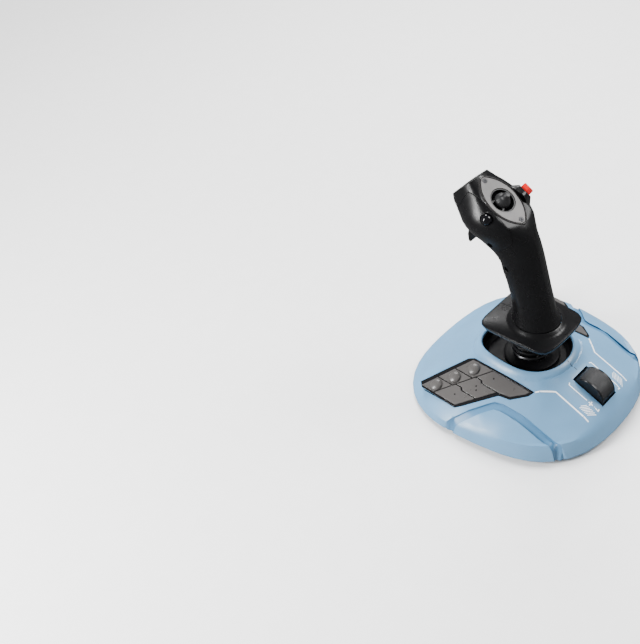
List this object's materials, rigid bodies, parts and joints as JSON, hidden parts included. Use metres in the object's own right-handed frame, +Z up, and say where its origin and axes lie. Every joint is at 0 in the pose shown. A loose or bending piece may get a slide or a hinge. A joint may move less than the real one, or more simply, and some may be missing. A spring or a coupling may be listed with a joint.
{
  "type": "flight joystick",
  "caption": "Desktop flight joystick: sprung pistol-grip handle with twist, hat, trigger and thumb buttons on a rounded base with two button groups and a small throttle drum.",
  "frame": {"origin": "centre of the base's plan on the surface its feet stand on", "axes": "+Z up, +Y forward, away from the player, +X to the player's right; the stick's own axis is 4.3 mm behind the origin"},
  "size_m": [0.209, 0.2118, 0.2247],
  "materials": {
    "blue_shell": "satin, very fine grain",
    "black_plastic": "fine moulded grain",
    "gloss_black": "polished",
    "grey_plate": "satin",
    "dark_grey_plastic": "satin",
    "grey_plastic": "as moulded",
    "red_plastic": "smooth",
    "black_rubber": "matt",
    "steel": "bright",
    "dark_steel": "blackened",
    "circuit_board": "solder mask"
  },
  "bodies": {
    "base": {"base_top_shell": "blue_shell", "base_bottom_pan": "black_plastic", "rubber_foot_front_left": "black_rubber", "rubber_foot_front_right": "black_rubber", "rubber_foot_rear_left": "black_rubber", "rubber_foot_rear_right": "black_rubber", "well_bowl": "black_plastic", "gimbal_housing": "grey_plastic", "trunnion_pin_left": "steel", "trunnion_pin_right": "steel", "hall_sensor_board": "circuit_board", "spring_seat_lower": "black_plastic", "centring_spring": "dark_steel", "button_bezel_left": "black_plastic", "button_bezel_right": "black_plastic", "button_board_left": "circuit_board", "button_board_right": "circuit_board", "throttle_axle": "steel", "throttle_bracket": "grey_plastic", "throttle_potentiometer": "circuit_board", "main_board": "circuit_board", "cable_gland": "black_rubber"},
    "gimbal": {"gimbal_ring": "grey_plastic", "gimbal_cross_pin": "steel"},
    "stick": {"stick_shaft": "steel", "magnet_holder": "black_plastic", "spring_seat_upper": "black_plastic"},
    "handle": {"flange_left": "black_plastic", "flange_right": "black_plastic", "handle_left_shell": "black_plastic", "handle_right_shell": "black_plastic", "thumb_module_left": "black_plastic", "side_module_right": "black_plastic", "hat_plate": "grey_plate", "hat_housing": "black_plastic", "hat_plate_screw_lower": "dark_steel", "hat_plate_screw_upper": "dark_steel", "handle_screw_upper": "dark_steel", "handle_screw_lower": "dark_steel", "trigger_pin": "steel", "twist_bush": "grey_plastic", "twist_sensor": "circuit_board"},
    "hat_pivot": {"hat_rocker": "black_plastic"},
    "hat": {"hat_cap": "dark_grey_plastic"},
    "trigger_blade": {"trigger": "black_plastic"},
    "thumb_ball": {"ball_button": "gloss_black"},
    "red_key": {"red_button": "red_plastic"},
    "throttle": {"throttle_paddle": "black_plastic"},
    "key_domed_1_left_body": {"key_domed_1_left": "dark_grey_plastic"},
    "key_domed_2_left_body": {"key_domed_2_left": "dark_grey_plastic"},
    "key_domed_3_left_body": {"key_domed_3_left": "dark_grey_plastic"},
    "key_flat_1_left_body": {"key_flat_1_left": "dark_grey_plastic"},
    "key_flat_2_left_body": {"key_flat_2_left": "dark_grey_plastic"},
    "key_flat_3_left_body": {"key_flat_3_left": "dark_grey_plastic"},
    "key_domed_1_right_body": {"key_domed_1_right": "dark_grey_plastic"},
    "key_domed_2_right_body": {"key_domed_2_right": "dark_grey_plastic"},
    "key_domed_3_right_body": {"key_domed_3_right": "dark_grey_plastic"},
    "key_flat_1_right_body": {"key_flat_1_right": "dark_grey_plastic"},
    "key_flat_2_right_body": {"key_flat_2_right": "dark_grey_plastic"},
    "key_flat_3_right_body": {"key_flat_3_right": "dark_grey_plastic"}
  },
  "joints": [
    {"name": "pitch", "type": "hinge", "parent": "base", "child": "gimbal", "pos_m": [0, -0.0043, 0.03], "axis": [1, 0, 0], "range_deg": [-18, 18], "stiffness_Nm_per_rad": 1.6, "deforming": ["centring_spring"]},
    {"name": "roll", "type": "hinge", "parent": "gimbal", "child": "stick", "pos_m": [0, -0.0043, 0.03], "axis": [0, 1, 0], "range_deg": [-18, 18], "stiffness_Nm_per_rad": 1.6},
    {"name": "twist", "type": "hinge", "parent": "stick", "child": "handle", "pos_m": [0, -0.0043, 0.0845], "axis": [0, 0, 1], "range_deg": [-12, 12], "stiffness_Nm_per_rad": 0.5},
    {"name": "hat_up_down", "type": "hinge", "parent": "handle", "child": "hat_pivot", "pos_m": [0, 0.03078, 0.20371], "axis": [1, 0, 0], "range_deg": [-8, 8], "stiffness_Nm_per_rad": 0.06},
    {"name": "hat_left_right", "type": "hinge", "parent": "hat_pivot", "child": "hat", "pos_m": [0, 0.03078, 0.20371], "axis": [0, 0.8443, 0.5358], "range_deg": [-8, 8], "stiffness_Nm_per_rad": 0.06},
    {"name": "trigger_pull", "type": "hinge", "parent": "handle", "child": "trigger_blade", "pos_m": [0, 0.0603, 0.1784], "axis": [-1, 0, 0], "range_deg": [0, 10], "stiffness_Nm_per_rad": 0.12, "springref_deg": -8.59},
    {"name": "thumb_ball_press", "type": "slide", "parent": "handle", "child": "thumb_ball", "axis": [0.8602, 0.3801, -0.3401], "range_m": [0, 0.0012], "stiffness_N_per_m": 400, "springref_m": -0.0005},
    {"name": "red_key_press", "type": "slide", "parent": "handle", "child": "red_key", "axis": [-0.7392, 0.3596, -0.5694], "range_m": [0, 0.0015], "stiffness_N_per_m": 400, "springref_m": -0.0005},
    {"name": "key_domed_1_left_press", "type": "slide", "parent": "base", "child": "key_domed_1_left_body", "axis": [0.3872, 0, -0.922], "range_m": [0, 0.001], "stiffness_N_per_m": 400, "springref_m": -0.0005},
    {"name": "key_domed_2_left_press", "type": "slide", "parent": "base", "child": "key_domed_2_left_body", "axis": [0.3872, 0, -0.922], "range_m": [0, 0.001], "stiffness_N_per_m": 400, "springref_m": -0.0005},
    {"name": "key_domed_3_left_press", "type": "slide", "parent": "base", "child": "key_domed_3_left_body", "axis": [0.3872, 0, -0.922], "range_m": [0, 0.001], "stiffness_N_per_m": 400, "springref_m": -0.0005},
    {"name": "key_flat_1_left_press", "type": "slide", "parent": "base", "child": "key_flat_1_left_body", "axis": [0.3872, 0, -0.922], "range_m": [0, 0.001], "stiffness_N_per_m": 400, "springref_m": -0.0005},
    {"name": "key_flat_2_left_press", "type": "slide", "parent": "base", "child": "key_flat_2_left_body", "axis": [0.3872, 0, -0.922], "range_m": [0, 0.001], "stiffness_N_per_m": 400, "springref_m": -0.0005},
    {"name": "key_flat_3_left_press", "type": "slide", "parent": "base", "child": "key_flat_3_left_body", "axis": [0.3872, 0, -0.922], "range_m": [0, 0.001], "stiffness_N_per_m": 400, "springref_m": -0.0005},
    {"name": "key_domed_1_right_press", "type": "slide", "parent": "base", "child": "key_domed_1_right_body", "axis": [-0.3872, 0, -0.922], "range_m": [0, 0.001], "stiffness_N_per_m": 400, "springref_m": -0.0005},
    {"name": "key_domed_2_right_press", "type": "slide", "parent": "base", "child": "key_domed_2_right_body", "axis": [-0.3872, 0, -0.922], "range_m": [0, 0.001], "stiffness_N_per_m": 400, "springref_m": -0.0005},
    {"name": "key_domed_3_right_press", "type": "slide", "parent": "base", "child": "key_domed_3_right_body", "axis": [-0.3872, 0, -0.922], "range_m": [0, 0.001], "stiffness_N_per_m": 400, "springref_m": -0.0005},
    {"name": "key_flat_1_right_press", "type": "slide", "parent": "base", "child": "key_flat_1_right_body", "axis": [-0.3872, 0, -0.922], "range_m": [0, 0.001], "stiffness_N_per_m": 400, "springref_m": -0.0005},
    {"name": "key_flat_2_right_press", "type": "slide", "parent": "base", "child": "key_flat_2_right_body", "axis": [-0.3872, 0, -0.922], "range_m": [0, 0.001], "stiffness_N_per_m": 400, "springref_m": -0.0005},
    {"name": "key_flat_3_right_press", "type": "slide", "parent": "base", "child": "key_flat_3_right_body", "axis": [-0.3872, 0, -0.922], "range_m": [0, 0.001], "stiffness_N_per_m": 400, "springref_m": -0.0005},
    {"name": "throttle_turn", "type": "hinge", "parent": "base", "child": "throttle", "pos_m": [0, -0.0735, 0.034], "axis": [1, 0, 0], "range_deg": [-22, 22]}
  ]
}
